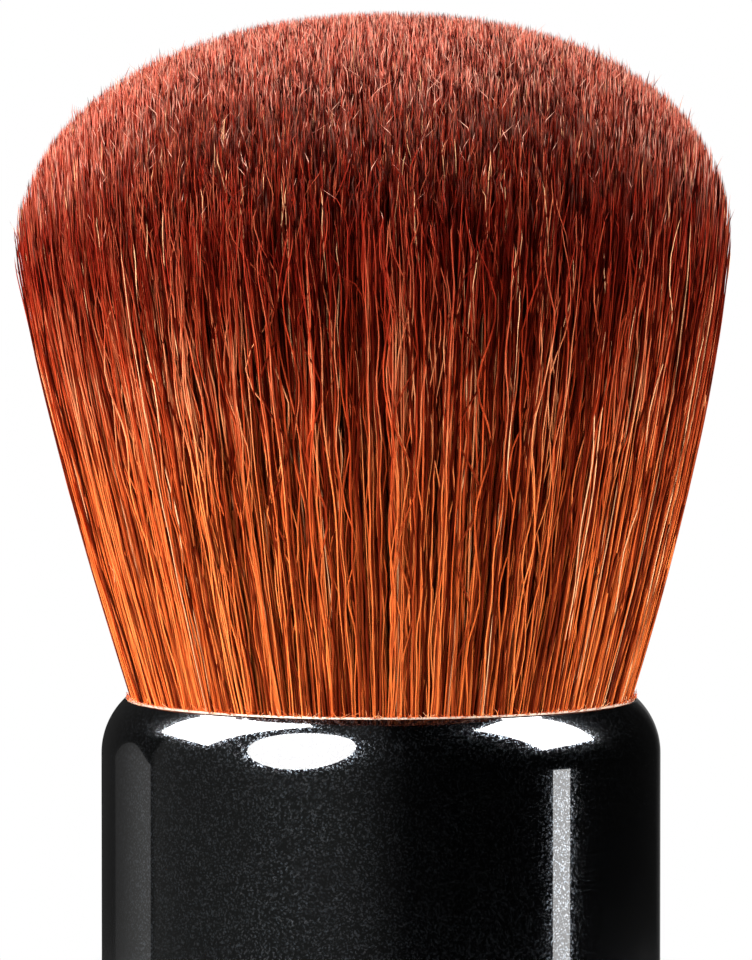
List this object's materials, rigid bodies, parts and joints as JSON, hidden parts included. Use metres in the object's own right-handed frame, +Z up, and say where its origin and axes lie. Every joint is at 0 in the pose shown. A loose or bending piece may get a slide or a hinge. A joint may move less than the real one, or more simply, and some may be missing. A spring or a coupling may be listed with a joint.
{
  "type": "kabuki makeup brush",
  "caption": "Short round powder brush: a dense flared bristle head with a domed top, bound in a metal cup inside a black lacquered cylindrical handle that stands on its base.",
  "frame": {"origin": "centre of the handle's base, on the surface that the brush stands on", "axes": "+Z up along the handle's axis, towards the bristle; the brush is round, so X and Y are free"},
  "size_m": [0.0386, 0.0386, 0.0668],
  "materials": {
    "black_lacquer": "gloss",
    "core_plastic": "matte",
    "base_plastic": "satin",
    "steel": "satin",
    "foam": "matte",
    "cup_metal": "satin",
    "adhesive": "gloss",
    "thread": "matte",
    "bristle": "satin"
  },
  "bodies": {
    "root": {"handle_shell": "black_lacquer", "handle_core": "core_plastic", "base_plate": "base_plastic", "weight_slug": "steel", "weight_pad": "foam", "ferrule_cup": "cup_metal", "adhesive_plug": "adhesive", "binding_thread": "thread", "bristle_tuft": "bristle"}
  },
  "joints": []
}
